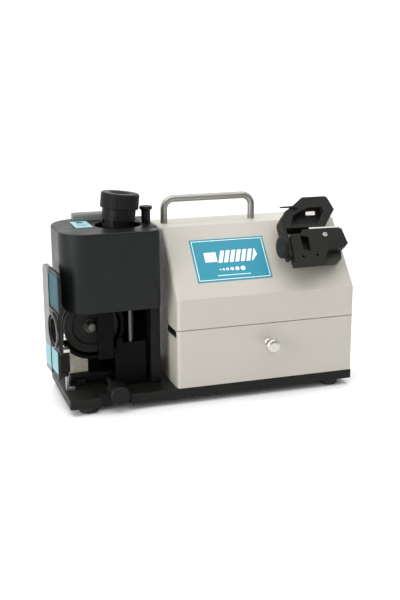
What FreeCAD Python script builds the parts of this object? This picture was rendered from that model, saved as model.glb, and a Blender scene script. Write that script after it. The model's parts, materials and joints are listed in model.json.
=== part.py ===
import FreeCAD, Part
import math
import os

# Drill bit sharpener, bench machine.
# Working axes while modelling: X = 0 is the left face of the grey housing, Y = 0 is the front
# edge of the base plate and Z = 0 is the top of the base plate.  Every piece is moved by
# ORIGIN when it is written, so that the origin ends up under the middle of the machine, at
# the level of the feet.  All lengths are millimetres.

Vec = FreeCAD.Vector
X_DIR = Vec(1, 0, 0)
Y_DIR = Vec(0, 1, 0)
Z_DIR = Vec(0, 0, 1)
CLEAR = 0.3                      # gap between pieces that pass each other
RUN_FIT = 0.04                   # radial running clearance of a shaft in its bore

# ---- base plate and feet ----
PLATE_LEFT = -145.0
PLATE_RIGHT = 255.0
PLATE_DEPTH = 140.0
PLATE_THICK = 12.0
FOOT_H = 10.0
FOOT_R = 13.0
FOOT_INSET_X = 27.0
FOOT_INSET_Y = 18.0
FOOT_SCREW_R = 2.5
FLOOR_Z = -PLATE_THICK - FOOT_H

# ---- housing ----
HOUSE_W = 255.0
HOUSE_DEPTH = 134.0
BEND_Z = 121.4                   # where the upright front turns into the slanted panel
ROOF_Z = 206.0
SLANT_RUN = 71.2                 # how far back the roof starts
SHEET = 2.0
EDGE_R = 5.0
SEAM_Z = 80.4                    # top of the drawer opening
SEAM_GAP = 0.9
SLOT_Y0, SLOT_Y1 = 6.6, 52.7     # slot in the left side, beside the drawer rail
SLOT_Z0, SLOT_Z1 = 67.7, 78.5

# ---- name label, measured up the slanted panel from its lower bend ----
LABEL_X0, LABEL_X1 = 33.7, 139.3
LABEL_S0, LABEL_S1 = 23.2, 87.5
LABEL_THICK = 0.5

# ---- drawer ----
FRONT_DEPTH = 6.0
TRAY_WALL = 1.5
KNOB_X, KNOB_Z = HOUSE_W / 2, 53.5
KNOB_HOLE_R = 2.6

# ---- carry handle ----
HANDLE_X0 = 12.8
HANDLE_SPAN = 128.0
HANDLE_Y = 102.6
HANDLE_RISE = 33.4
HANDLE_TUBE = 9.6
HANDLE_BEND = 14.0

# ---- grinding head ----
AXIS_X, AXIS_Z = -104.0, 83.0    # spindle axis, which runs along Y
WHEEL_R = 36.0
WHEEL_FACE_Y = 52.0
GUARD_R = 44.0
GUARD_Y0, GUARD_Y1 = 48.0, 68.0
MOTOR_R = 35.0
MOTOR_Y0, MOTOR_Y1 = 70.0, 112.0
SPINDLE_R = 5.0
BEARING_R = 11.0
CARRIAGE_X0, CARRIAGE_X1 = -132.0, -31.0
CARRIAGE_Y0, CARRIAGE_Y1 = 64.0, 128.0
CARRIAGE_Z0, CARRIAGE_TOP = 3.0, 14.0
FEED_TRAVEL = 5.0
FEED_X, FEED_Z = -80.0, 2.0      # feed screw axis
FEED_R = 13.0
FEED_SCREW_R = 4.0

# ---- column, bridge and cover ----
COLUMN_X0, COLUMN_X1 = -27.0, -14.0
COLUMN_Y0, COLUMN_Y1 = 34.0, 137.0
COVER_LEFT = -145.0
COVER_RIGHT = -16.0
COVER_FRONT = 12.0
COVER_BACK = 137.0
COVER_BOTTOM = 111.0
COVER_TOP = 214.0
COVER_WALL = 2.5
BRIDGE_LEFT = -104.0
BRIDGE_Y0, BRIDGE_Y1 = 44.0, 104.0
BRIDGE_Z0, BRIDGE_Z1 = 190.0, 198.0
SUPPORT_X0, SUPPORT_X1 = -99.0, -78.0
SUPPORT_Y0, SUPPORT_Y1 = 32.0, 39.5
SUPPORT_Z0 = 42.0

# ---- top port: axis leans towards the housing ----
PORT_X, PORT_Y = -60.0, 70.0     # where the axis crosses the top of the cover
PORT_LEAN = 6.0                  # degrees
TOOL_BORE_R = 7.0
SHANK_R = 18.0

# ---- swivelling side port ----
SWING_X, SWING_Y = -145.5, 36.0  # vertical swivel axis
SWING_REST = 4.0                 # degrees the side panel stands open at rest
PANEL_X = -155.9                 # outer face of the side panel before it is swung open
PANEL_THICK = 3.5
PANEL_Y0, PANEL_Y1 = 5.0, 84.0
PANEL_Z0, PANEL_Z1 = 24.0, 168.0
BAND_Y0 = 54.0                   # where the panel's raised rear band begins
BAND_RISE = 1.2
SIDE_PORT_Y, SIDE_PORT_Z = 30.0, 89.0
SIDE_BORE_R = 16.0
SIDE_BUSH_R = 20.7
SIDE_RING_R = 23.0
SIDE_RING_H = 3.0

# ---- setting fixture, on the slanted panel ----
SLANT_LEN = math.hypot(SLANT_RUN, ROOF_Z - BEND_Z)
UP_SLOPE = Vec(0, SLANT_RUN / SLANT_LEN, (ROOF_Z - BEND_Z) / SLANT_LEN)
OFF_SLOPE = Vec(0, -UP_SLOPE.z, UP_SLOPE.y)
FIX_BACK_H = 19.0                # thickness of the fixture's body
FIX_FRONT_H = 32.0               # outer face of its front plate
UNDER_BACK_S = 34.0              # the underside rises from here on the panel
UNDER_FRONT_S = 18.5             # to here at the front plate's face

# ---- origin: middle of the overall box, at the underside of the feet ----
LEFT_MOST = -161.208
KNOB_FRONT = -24.0
ORIGIN = Vec((LEFT_MOST + PLATE_RIGHT) / 2, (KNOB_FRONT + PLATE_DEPTH) / 2, FLOOR_Z)


# ======================= helpers =======================

def box(x0, x1, y0, y1, z0, z1):
    return Part.makeBox(x1 - x0, y1 - y0, z1 - z0, Vec(x0, y0, z0))


def cyl(radius, start, direction, length):
    return Part.makeCylinder(radius, length, start, direction)


def ring(outer, inner, start, direction, length):
    return cyl(outer, start, direction, length).cut(cyl(inner, start, direction, length))


def prism(points, direction):
    """A solid from a closed polygon, pushed along direction."""
    corners = [Vec(*p) for p in points]
    wire = Part.makePolygon(corners + corners[:1])
    return Part.Face(wire).extrude(direction)


def fuse(shapes):
    result = shapes[0]
    for shape in shapes[1:]:
        result = result.fuse(shape)
    return result.removeSplitter()


def group(shapes):
    return Part.makeCompound(shapes)


def soften(shape, radius, keep):
    """Fillet the edges whose middle point passes the test in keep."""
    edges = [e for e in shape.Edges if keep(e)]
    return shape.makeFillet(radius, edges) if edges else shape


def bevel(shape, size, keep):
    edges = [e for e in shape.Edges if keep(e)]
    return shape.makeChamfer(size, edges) if edges else shape


def middle(edge):
    return edge.valueAt((edge.FirstParameter + edge.LastParameter) / 2)


def along(edge, direction):
    """True for a straight edge that runs in the given direction."""
    if not isinstance(edge.Curve, Part.Line):
        return False
    return abs(abs(edge.Curve.Direction.dot(direction)) - 1) < 1e-4


def turned(points, start, direction):
    """A turned solid: points are (radius, distance along the axis)."""
    profile = [Vec(r, 0, h) for r, h in points]
    wire = Part.makePolygon(profile + profile[:1])
    solid = Part.Face(wire).revolve(Vec(0, 0, 0), Z_DIR, 360)
    solid.Placement = FreeCAD.Placement(start, FreeCAD.Rotation(Z_DIR, direction))
    return solid


def knurl(shape, radius, depth, count, start, direction, length):
    """Cut shallow V-like flutes round a turned grip."""
    frame = FreeCAD.Placement(start, FreeCAD.Rotation(Z_DIR, direction))
    flutes = []
    for i in range(count):
        angle = 2 * math.pi * i / count
        foot = Vec(radius * math.cos(angle), radius * math.sin(angle), -1)
        flute = cyl(depth, foot, Z_DIR, length + 2)
        flute.Placement = frame
        flutes.append(flute)
    return shape.cut(flutes[0].multiFuse(flutes[1:]))


def on_slope(x, s, h):
    """A point on the slanted panel: s up the slope from the bend, h off its surface."""
    return Vec(x, 0, BEND_Z) + UP_SLOPE * s + OFF_SLOPE * h


def slope_prism(outline, h0, h1):
    """Push an (x, s) outline off the slanted panel from height h0 to h1."""
    corners = [on_slope(x, s, h0) for x, s in outline]
    wire = Part.makePolygon(corners + corners[:1])
    return Part.Face(wire).extrude(OFF_SLOPE * (h1 - h0))


def arc_pipe(points, bend, radius):
    """A round bar along a polyline whose corners are rounded to the bend radius."""
    edges = []
    here = points[0]
    for before, corner, after in zip(points, points[1:], points[2:]):
        into = (corner - before).normalize()
        out = (after - corner).normalize()
        turn = math.acos(into.dot(out))
        back = bend * math.tan(turn / 2)
        first = corner - into * back
        last = corner + out * back
        inward = (out - into).normalize()
        centre = corner + inward * (bend / math.cos(turn / 2))
        mid = centre - inward * bend
        edges.append(Part.LineSegment(here, first).toShape())
        edges.append(Part.Arc(first, mid, last).toShape())
        here = last
    edges.append(Part.LineSegment(here, points[-1]).toShape())
    path = Part.Wire(edges)
    section = Part.Wire(Part.Circle(points[0], points[1] - points[0], radius).toShape())
    return path.makePipeShell([section], True, False)


# ======================= base =======================

FOOT_SPOTS = [(x, y)
              for x in (PLATE_LEFT + FOOT_INSET_X, PLATE_RIGHT - FOOT_INSET_X)
              for y in (FOOT_INSET_Y, PLATE_DEPTH - FOOT_INSET_Y)]
NOTCH_X0, NOTCH_X1 = -104.0, -64.5
NOTCH_DEPTH = 11.6
CHANNEL_HALF = 7.0
CHANNEL_END = 122.0
CHANNEL_Z = -6.0


def base_plate():
    plate = box(PLATE_LEFT, PLATE_RIGHT, 0, PLATE_DEPTH, -PLATE_THICK, 0)
    plate = soften(plate, 2.5, lambda e: along(e, Z_DIR))
    plate = bevel(plate, 1.0, lambda e: abs(middle(e).z) < 0.01)
    notch = box(NOTCH_X0, NOTCH_X1, -1, NOTCH_DEPTH, -PLATE_THICK - 1, 1)
    channel = box(FEED_X - CHANNEL_HALF, FEED_X + CHANNEL_HALF, NOTCH_DEPTH - 1, CHANNEL_END,
                  CHANNEL_Z, 1)
    plate = plate.cut(notch).cut(channel)
    for x, y in FOOT_SPOTS:
        plate = plate.cut(cyl(FOOT_SCREW_R + 0.1, Vec(x, y, -PLATE_THICK - 1), Z_DIR,
                              PLATE_THICK - 2))
    return plate


def rubber_feet():
    feet = []
    for x, y in FOOT_SPOTS:
        foot = turned([(3.0, 0), (FOOT_R - 1.8, 0), (FOOT_R - 0.6, 1.2), (FOOT_R, FOOT_H),
                       (3.0, FOOT_H)], Vec(x, y, FLOOR_Z), Z_DIR)
        recess = cyl(6.5, Vec(x, y, FLOOR_Z - 1), Z_DIR, 5.0)
        feet.append(foot.cut(recess))
    return group(feet)


def foot_screws():
    screws = []
    for x, y in FOOT_SPOTS:
        head = cyl(5.0, Vec(x, y, FLOOR_Z + 1.0), Z_DIR, 3.0)
        stem = cyl(FOOT_SCREW_R, Vec(x, y, FLOOR_Z + 4.0), Z_DIR, 14.0)
        drive = cyl(1.6, Vec(x, y, FLOOR_Z + 0.5), Z_DIR, 2.0)
        screws.append(head.fuse(stem).cut(drive))
    return group(screws)


# ======================= housing =======================

def house_profile(inset, x):
    """Side outline of the housing, moved inwards by inset."""
    half_turn = math.atan2(SLANT_RUN, ROOF_Z - BEND_Z) / 2
    bend_drop = inset * math.tan(half_turn)
    roof_turn = (math.pi / 2 - 2 * half_turn) / 2
    roof_back = inset * math.tan(roof_turn)
    return [(x, inset, 0), (x, inset, BEND_Z - bend_drop),
            (x, SLANT_RUN + roof_back, ROOF_Z - inset), (x, HOUSE_DEPTH, ROOF_Z - inset),
            (x, HOUSE_DEPTH, 0)]


def housing_shell():
    outer = prism(house_profile(0, 0), X_DIR * HOUSE_W)

    def side_edge(e):
        m = middle(e)
        at_side = m.x < 0.01 or m.x > HOUSE_W - 0.01
        return at_side and m.y < HOUSE_DEPTH - 0.01 and m.z > 1

    outer = soften(outer, EDGE_R, side_edge)
    inner = prism(house_profile(SHEET, SHEET), X_DIR * (HOUSE_W - 2 * SHEET))
    back_open = box(SHEET, HOUSE_W - SHEET, HOUSE_DEPTH - 5, HOUSE_DEPTH + 5, -1, ROOF_Z - SHEET)
    shell = outer.cut(inner).cut(back_open)
    drawer_front_room = box(-1, HOUSE_W + 1, -1, FRONT_DEPTH + 0.3, -1, SEAM_Z)
    shell = shell.cut(drawer_front_room)
    slot = box(-1, SHEET + 1, SLOT_Y0, SLOT_Y1, SLOT_Z0, SLOT_Z1)
    slot = soften(slot, 3.0, lambda e: along(e, X_DIR))
    shell = shell.cut(slot)
    # folded lip along the top of the drawer opening
    lip = box(SHEET, HOUSE_W - SHEET, SHEET, 14.0, SEAM_Z, SEAM_Z + 1.5)
    shell = shell.fuse(lip)
    for x in (HANDLE_X0, HANDLE_X0 + HANDLE_SPAN):
        shell = shell.cut(cyl(2.7, Vec(x, HANDLE_Y, ROOF_Z - 5), Z_DIR, 10))
    return shell.removeSplitter()


INLET_X0, INLET_X1, INLET_Z0, INLET_Z1 = 40.0, 68.0, 96.0, 116.0
SWITCH_X0, SWITCH_X1, SWITCH_Z0, SWITCH_Z1 = 82.0, 101.0, 93.0, 119.0
REAR_INNER = HOUSE_DEPTH - SHEET
REAR_SCREWS = [(x, z) for x in (9.0, 127.5, 246.0) for z in (12.0, 197.0)]


def rear_panel():
    panel = box(SHEET + CLEAR, HOUSE_W - SHEET - CLEAR, REAR_INNER, HOUSE_DEPTH, 0.3,
                ROOF_Z - SHEET - CLEAR)
    panel = panel.cut(box(INLET_X0, INLET_X1, REAR_INNER - 1, HOUSE_DEPTH + 1,
                          INLET_Z0, INLET_Z1))
    panel = panel.cut(box(SWITCH_X0, SWITCH_X1, REAR_INNER - 1, HOUSE_DEPTH + 1,
                          SWITCH_Z0, SWITCH_Z1))
    for i in range(9):
        x = 150.0 + 9.0 * i
        vent = box(x, x + 4.0, REAR_INNER - 1, HOUSE_DEPTH + 1, 120.0, 170.0)
        panel = panel.cut(soften(vent, 1.9, lambda e: along(e, Y_DIR)))
    for x, z in REAR_SCREWS:
        panel = panel.cut(cyl(1.9, Vec(x, REAR_INNER - 1, z), Y_DIR, SHEET + 2))
    return panel


def rear_screws():
    screws = []
    for x, z in REAR_SCREWS:
        head = turned([(0, 0), (3.4, 0), (3.2, 1.2), (2.0, 2.0), (0, 2.0)],
                      Vec(x, HOUSE_DEPTH, z), Y_DIR)
        stem = cyl(1.5, Vec(x, HOUSE_DEPTH - 8.0, z), Y_DIR, 8.0)
        slot = box(x - 2.4, x + 2.4, HOUSE_DEPTH + 1.1, HOUSE_DEPTH + 3, z - 0.4, z + 0.4)
        screws.append(head.fuse(stem).cut(slot))
    return group(screws)


def deck_plate():
    """Shelf between the drawer bay and the electrical bay."""
    z0 = SEAM_Z + 2.0
    deck = box(SHEET + CLEAR, HOUSE_W - SHEET - CLEAR, 15.0, REAR_INNER - 3.0, z0, z0 + 2.0)
    flange = box(SHEET + CLEAR, HOUSE_W - SHEET - CLEAR, REAR_INNER - 5.0, REAR_INNER - 3.0,
                 z0, z0 + 9.0)
    return deck.fuse(flange).removeSplitter()


def control_board():
    """Motor supply: circuit board on four posts with its large parts."""
    z0 = SEAM_Z + 4.0
    pieces = [box(60, 190, 40, 112, z0 + 8, z0 + 9.6)]
    for x in (65, 185):
        for y in (45, 107):
            pieces.append(cyl(3.0, Vec(x, y, z0), Z_DIR, 8.0))
    pieces.append(box(70, 112, 52, 92, z0 + 9.6, z0 + 46))
    pieces.append(cyl(13.0, Vec(136, 72, z0 + 9.6), Z_DIR, 38.0))
    pieces.append(box(156, 182, 50, 100, z0 + 9.6, z0 + 26))
    return fuse(pieces)


SWITCH_X = (SWITCH_X0 + SWITCH_X1) / 2
SWITCH_Z = (SWITCH_Z0 + SWITCH_Z1) / 2
ROCKER_PIVOT_Y = HOUSE_DEPTH - 3.0


def power_module():
    """Mains appliance inlet and switch frame in one moulding; the lead itself unplugs."""
    face = box(INLET_X0 - 10, SWITCH_X1 + 3, HOUSE_DEPTH, HOUSE_DEPTH + 2.0, SWITCH_Z0 - 3,
               SWITCH_Z1 + 3)
    face = soften(face, 2.0, lambda e: along(e, Y_DIR))
    inlet = box(INLET_X0 + CLEAR, INLET_X1 - CLEAR, HOUSE_DEPTH - 24, HOUSE_DEPTH,
                INLET_Z0 + CLEAR, INLET_Z1 - CLEAR)
    switch = box(SWITCH_X0 + CLEAR, SWITCH_X1 - CLEAR, HOUSE_DEPTH - 20, HOUSE_DEPTH,
                 SWITCH_Z0 + CLEAR, SWITCH_Z1 - CLEAR)
    well = box(INLET_X0 + 2, INLET_X1 - 2, HOUSE_DEPTH - 17, HOUSE_DEPTH + 4,
               INLET_Z0 + 2, INLET_Z1 - 2)
    rocker_well = box(SWITCH_X0 + 2, SWITCH_X1 - 2, HOUSE_DEPTH - 12, HOUSE_DEPTH + 3,
                      SWITCH_Z0 + 2, SWITCH_Z1 - 2)
    shape = face.fuse(inlet).fuse(switch).cut(well).cut(rocker_well)
    mid_x = (INLET_X0 + INLET_X1) / 2
    mid_z = (INLET_Z0 + INLET_Z1) / 2
    for dx, dz in ((-7, -2.5), (0, 2.5), (7, -2.5)):
        blade = box(mid_x + dx - 1, mid_x + dx + 1, HOUSE_DEPTH - 18, HOUSE_DEPTH - 3,
                    mid_z + dz - 2, mid_z + dz + 2)
        shape = shape.fuse(blade)
    return shape.removeSplitter()


def rocker_switch():
    """Rocker with two flat facets that meet at its waist; it turns on a round bar along X."""
    half = (SWITCH_Z1 - SWITCH_Z0) / 2 - 2.6
    x0 = SWITCH_X0 + 2.5
    x1 = SWITCH_X1 - 2.5
    y = ROCKER_PIVOT_Y
    outline = [(x0, y - 2, SWITCH_Z - half + 1.6), (x0, y + 3.6, SWITCH_Z - half),
               (x0, y + 4.2, SWITCH_Z), (x0, y + 8.2, SWITCH_Z + half - 1.6),
               (x0, y - 2, SWITCH_Z + half - 2.4)]
    bar = cyl(3.2, Vec(x0, y, SWITCH_Z), X_DIR, x1 - x0)
    return prism(outline, X_DIR * (x1 - x0)).fuse(bar)


def name_label():
    """Thin plate on the slanted panel."""
    outline = [(LABEL_X0, LABEL_S0), (LABEL_X1, LABEL_S0), (LABEL_X1, LABEL_S1),
               (LABEL_X0, LABEL_S1)]
    return slope_prism(outline, 0.0, LABEL_THICK)


def carry_handle():
    x0, x1 = HANDLE_X0, HANDLE_X0 + HANDLE_SPAN
    top = ROOF_Z + HANDLE_RISE
    route = [Vec(x0, HANDLE_Y, ROOF_Z), Vec(x0, HANDLE_Y, top), Vec(x1, HANDLE_Y, top),
             Vec(x1, HANDLE_Y, ROOF_Z)]
    bar = arc_pipe(route, HANDLE_BEND, HANDLE_TUBE / 2)
    for x in (x0, x1):
        bar = bar.cut(cyl(2.1, Vec(x, HANDLE_Y, ROOF_Z - 1), Z_DIR, 14))
    return bar


def handle_screws():
    screws = []
    for x in (HANDLE_X0, HANDLE_X0 + HANDLE_SPAN):
        head = cyl(4.5, Vec(x, HANDLE_Y, ROOF_Z - SHEET - 3.2), Z_DIR, 3.2)
        stem = cyl(2.1, Vec(x, HANDLE_Y, ROOF_Z - SHEET), Z_DIR, 12.0)
        screws.append(head.fuse(stem))
    return group(screws)


# ======================= drawer =======================

TRAY_X0, TRAY_X1 = 12.0, HOUSE_W - 12.0
TRAY_Z0, TRAY_Z1 = 4.0, 77.0
TRAY_BACK = 126.0
RAIL_INNER = 6.0
RAIL_Y0, RAIL_Y1 = 16.0, 128.0
RAIL_Z0, RAIL_Z1 = 69.0, 77.0


def drawer_front():
    front = box(0, HOUSE_W, 0, FRONT_DEPTH, 0.6, SEAM_Z - SEAM_GAP)

    def upright(e):
        return along(e, Z_DIR) and middle(e).y < 0.01

    front = soften(front, EDGE_R, upright)
    hollow = box(SHEET + 1, HOUSE_W - SHEET - 1, SHEET, FRONT_DEPTH + 1, 0.6 + SHEET,
                 SEAM_Z - SEAM_GAP - SHEET)
    front = front.cut(hollow)
    return front.cut(cyl(KNOB_HOLE_R, Vec(KNOB_X, -1, KNOB_Z), Y_DIR, 5))


def drawer_tray():
    y0 = SHEET
    tray = box(TRAY_X0, TRAY_X1, y0, TRAY_BACK, TRAY_Z0, TRAY_Z1)
    room = box(TRAY_X0 + TRAY_WALL, TRAY_X1 - TRAY_WALL, y0 + TRAY_WALL, TRAY_BACK - TRAY_WALL,
               TRAY_Z0 + TRAY_WALL, TRAY_Z1 + 1)
    tray = tray.cut(room)
    return tray.cut(cyl(KNOB_HOLE_R, Vec(KNOB_X, -1, KNOB_Z), Y_DIR, 5))


def drawer_rails():
    """Fixed rails on the inside of the housing's two sides."""
    left = box(SHEET, RAIL_INNER, RAIL_Y0, RAIL_Y1, RAIL_Z0, RAIL_Z1)
    right = box(HOUSE_W - RAIL_INNER, HOUSE_W - SHEET, RAIL_Y0, RAIL_Y1, RAIL_Z0, RAIL_Z1)
    return group([left, right])


def drawer_runners():
    """Bars on the tray's sides that slide along the rails."""
    y0 = FRONT_DEPTH + 1
    left = box(RAIL_INNER + CLEAR, TRAY_X0, y0, TRAY_BACK, RAIL_Z0 + 1, RAIL_Z1 - 1)
    right = box(TRAY_X1, HOUSE_W - RAIL_INNER - CLEAR, y0, TRAY_BACK, RAIL_Z0 + 1, RAIL_Z1 - 1)
    return group([left, right])


def drawer_knob():
    """Satin metal pull: base disc, waisted neck, domed head, and a stud with its nut behind."""
    reach = -KNOB_FRONT
    outline = [(0, 0), (5.4, 0), (5.4, 2.0), (4.0, 3.5), (3.7, 9.0), (5.2, reach - 9.0),
               (8.8, reach - 6.6), (9.5, reach - 4.8), (9.3, reach - 2.2), (8.2, reach - 0.8),
               (5.0, reach - 0.1), (0, reach)]
    knob = turned(outline, Vec(KNOB_X, 0, KNOB_Z), Y_DIR * -1)
    stud = cyl(2.5, Vec(KNOB_X, -1, KNOB_Z), Y_DIR, 1 + SHEET + TRAY_WALL + 3)
    nut = cyl(4.4, Vec(KNOB_X, SHEET + TRAY_WALL, KNOB_Z), Y_DIR, 3)
    return fuse([knob, stud, nut])


# ======================= column, bridge, cover =======================

PLUNGER_X, PLUNGER_Y = -20.5, 74.0


def column_plate():
    column = box(COLUMN_X0, COLUMN_X1, COLUMN_Y0, COLUMN_Y1, 0, COVER_TOP)

    def top_corner(e):
        return along(e, X_DIR) and middle(e).z > COVER_TOP - 0.1

    column = soften(column, 14.0, top_corner)
    return column.cut(cyl(3.2, Vec(PLUNGER_X, PLUNGER_Y, COVER_TOP - 26), Z_DIR, 30))


def port_axis():
    lean = math.radians(PORT_LEAN)
    return Vec(math.sin(lean), 0, math.cos(lean))


PORT_AXIS = port_axis()
PORT_FOOT = Vec(PORT_X, PORT_Y, COVER_TOP)


def port_at(height):
    """A point on the top port's axis, measured from the top of the cover."""
    return PORT_FOOT + PORT_AXIS * height


def port_bridge():
    """Black plate that carries the top port from the column, under the cover."""
    plate = box(BRIDGE_LEFT, COLUMN_X0, BRIDGE_Y0, BRIDGE_Y1, BRIDGE_Z0, BRIDGE_Z1)
    plate = soften(plate, 8.0, lambda e: along(e, Z_DIR) and middle(e).x < BRIDGE_LEFT + 1)
    hole = cyl(24.0, port_at(-40), PORT_AXIS, 60)
    foot = box(COLUMN_X0 - 8, COLUMN_X0, BRIDGE_Y0, BRIDGE_Y1, BRIDGE_Z0 - 22, BRIDGE_Z0)
    return plate.cut(hole).fuse(foot).removeSplitter()


def support_bar():
    """Upright flat bar in front of the wheel guard, hung from the bridge."""
    bar = box(SUPPORT_X0, SUPPORT_X1, SUPPORT_Y0, SUPPORT_Y1, SUPPORT_Z0, BRIDGE_Z0)
    bar = soften(bar, 2.0, lambda e: along(e, Z_DIR))
    shelf = box(SUPPORT_X0, SUPPORT_X1, SUPPORT_Y0, SUPPORT_Y0 + 28, BRIDGE_Z0 - 8, BRIDGE_Z0)
    bush_room = cyl(24.4, port_at(-45), PORT_AXIS, 30)
    return bar.fuse(shelf).cut(bush_room).removeSplitter()


def cover_plan(inset, z):
    """Plan outline of the head cover as a wire, moved inwards by inset."""
    left = COVER_LEFT + inset
    right = COVER_RIGHT - inset
    front = COVER_FRONT + inset
    back = COVER_BACK - inset
    step_x = COLUMN_X0 - 0.6 - inset
    step_y = COLUMN_Y0 - 0.5 - inset
    r_fl = 33.0 - inset
    r_fr = 12.0 - inset
    r_bl = 45.0 - inset
    k = math.sqrt(0.5)

    def p(x, y):
        return Vec(x, y, z)

    def corner(cx, cy, r, a, b, sx, sy):
        return Part.Arc(a, p(cx + sx * r * k, cy + sy * r * k), b).toShape()

    pts = {
        "fl0": p(left, front + r_fl), "fl1": p(left + r_fl, front),
        "fr0": p(right - r_fr, front), "fr1": p(right, front + r_fr),
        "s0": p(right, step_y), "s1": p(step_x, step_y), "s2": p(step_x, back),
        "bl0": p(left + r_bl, back), "bl1": p(left, back - r_bl),
    }
    edges = [
        corner(left + r_fl, front + r_fl, r_fl, pts["fl0"], pts["fl1"], -1, -1),
        Part.LineSegment(pts["fl1"], pts["fr0"]).toShape(),
        corner(right - r_fr, front + r_fr, r_fr, pts["fr0"], pts["fr1"], 1, -1),
        Part.LineSegment(pts["fr1"], pts["s0"]).toShape(),
        Part.LineSegment(pts["s0"], pts["s1"]).toShape(),
        Part.LineSegment(pts["s1"], pts["s2"]).toShape(),
        Part.LineSegment(pts["s2"], pts["bl0"]).toShape(),
        corner(left + r_bl, back - r_bl, r_bl, pts["bl0"], pts["bl1"], -1, 1),
        Part.LineSegment(pts["bl1"], pts["fl0"]).toShape(),
    ]
    return Part.Wire(edges)


COVER_HOLE_R = 31.0
SHIELD_X0 = -108.0


def rear_shield():
    """Flat sheet that closes the back of the head below the cover."""
    y = COVER_BACK - 3.0
    return box(SHIELD_X0, COLUMN_X0 - CLEAR, y, y + SHEET, 0, COVER_BOTTOM - 0.4)


def head_cover():
    """Moulded cover over the grinding head, open below, with a round cut-out for the port."""
    height = COVER_TOP - COVER_BOTTOM
    outer = Part.Face(cover_plan(0, COVER_BOTTOM)).extrude(Z_DIR * height)
    outer = soften(outer, 2.0, lambda e: middle(e).z > COVER_TOP - 0.01)
    inner = Part.Face(cover_plan(COVER_WALL, COVER_BOTTOM - 1)).extrude(
        Z_DIR * (height + 1 - COVER_WALL))
    shell = outer.cut(inner)
    hole = cyl(COVER_HOLE_R, Vec(PORT_X, PORT_Y, COVER_TOP - 10), Z_DIR, 20)
    shell = shell.cut(hole)
    # the lower left corner of the front is rounded off
    r = 13.0
    block = box(COVER_LEFT - 1, COVER_LEFT + r, COVER_FRONT - 1, COVER_BACK + 1,
                COVER_BOTTOM - 2, COVER_BOTTOM + r)
    block = block.cut(cyl(r, Vec(COVER_LEFT + r, COVER_FRONT - 2, COVER_BOTTOM + r), Y_DIR,
                          COVER_BACK - COVER_FRONT + 4))
    shell = shell.cut(block)
    # the wall beside the column is open from below, so that the cover lifts off the bridge
    bridge_room = box(COLUMN_X0 - 10, COLUMN_X0, BRIDGE_Y0 - CLEAR, BRIDGE_Y1 + CLEAR,
                      COVER_BOTTOM - 1, BRIDGE_Z1 + CLEAR)
    return shell.cut(bridge_room)


def cover_label():
    """Thin plate on the cover's flat top."""
    return box(-117.0, -95.0, 62.0, 108.0, COVER_TOP, COVER_TOP + 0.4)


def rear_lip():
    """Pale rounded bar along the back of the cover's top."""
    bar = box(-112.0, -50.0, 112.0, 124.0, COVER_TOP, COVER_TOP + 11.0)
    return soften(bar, 5.0, lambda e: along(e, X_DIR) and middle(e).z > COVER_TOP + 5)


# ======================= top port =======================

BUSH_TOP = 6.7                   # top of the fixed bush above the cover
BARREL_TOP = 22.5
RING_TOP = 42.5


def port_bush():
    """Fixed bush with a castellated rim that indexes the tool holder."""
    base = ring(23.9, SHANK_R + RUN_FIT, port_at(-34), PORT_AXIS, 20.0)
    neck = ring(20.6, SHANK_R + RUN_FIT, port_at(-14), PORT_AXIS, 14.0 + BUSH_TOP - 5.5)
    shape = base.fuse(neck)
    lean = FreeCAD.Rotation(Z_DIR, PORT_AXIS)
    teeth = ring(20.6, SHANK_R + RUN_FIT, port_at(BUSH_TOP - 5.5), PORT_AXIS, 5.5)
    for i in range(6):
        angle = 60.0 * i + 10.0
        gap = box(0, 30, -3.6, 3.6, 0, 8.0)
        gap.rotate(Vec(0, 0, 0), Z_DIR, angle)
        gap.Placement = FreeCAD.Placement(port_at(BUSH_TOP - 5.5), lean).multiply(gap.Placement)
        teeth = teeth.cut(gap)
    return shape.fuse(teeth).removeSplitter()


def tool_holder():
    """Turning holder: shank in the bush, barrel above it, bored through for the collet."""
    low = -42.0
    step = BUSH_TOP + CLEAR - low
    top = BARREL_TOP - CLEAR - low
    barrel = turned([(12.0, 0), (SHANK_R, 0), (SHANK_R, step), (22.2, step), (22.2, top),
                     (15.5, top), (15.5, top + 12.0), (12.0, top + 12.0)],
                    port_at(low), PORT_AXIS)
    ribs = ring(22.2, 21.2, port_at(BUSH_TOP + 5.0), PORT_AXIS, 1.2)
    return barrel.cut(ribs)


def collet():
    """Slotted collet that grips the tool."""
    body = turned([(TOOL_BORE_R, 0), (11.7, 0), (11.7, 70.0), (10.0, 74.0), (TOOL_BORE_R, 74.0)],
                  port_at(-40.0), PORT_AXIS)
    lean = FreeCAD.Rotation(Z_DIR, PORT_AXIS)
    for i in range(3):
        slit = box(-13, 13, -0.5, 0.5, 30.0, 75.0)
        slit.rotate(Vec(0, 0, 0), Z_DIR, 60.0 * i)
        slit.Placement = FreeCAD.Placement(port_at(-40.0), lean).multiply(slit.Placement)
        body = body.cut(slit)
    return body


def clamp_ring():
    """Knurled ring that tightens the collet."""
    h = RING_TOP - BARREL_TOP
    shape = turned([(15.5 + CLEAR, 0), (24.8, 0), (25.4, 0.8), (25.4, h - 1.6), (24.2, h),
                    (15.5, h), (11.0, h - 3.0), (11.0, 14.0), (15.5 + CLEAR, 14.0)],
                   port_at(BARREL_TOP), PORT_AXIS)
    shape = knurl(shape, 25.9, 0.9, 44, port_at(BARREL_TOP + 1.5), PORT_AXIS, h - 4.5)
    notch_dir = Vec(PORT_AXIS.z * 0.8, -0.6, -PORT_AXIS.x * 0.8)
    mark = cyl(1.6, port_at(RING_TOP) + notch_dir * 19.5 - PORT_AXIS * 1.0, PORT_AXIS, 3.0)
    return shape.cut(mark)


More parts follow.
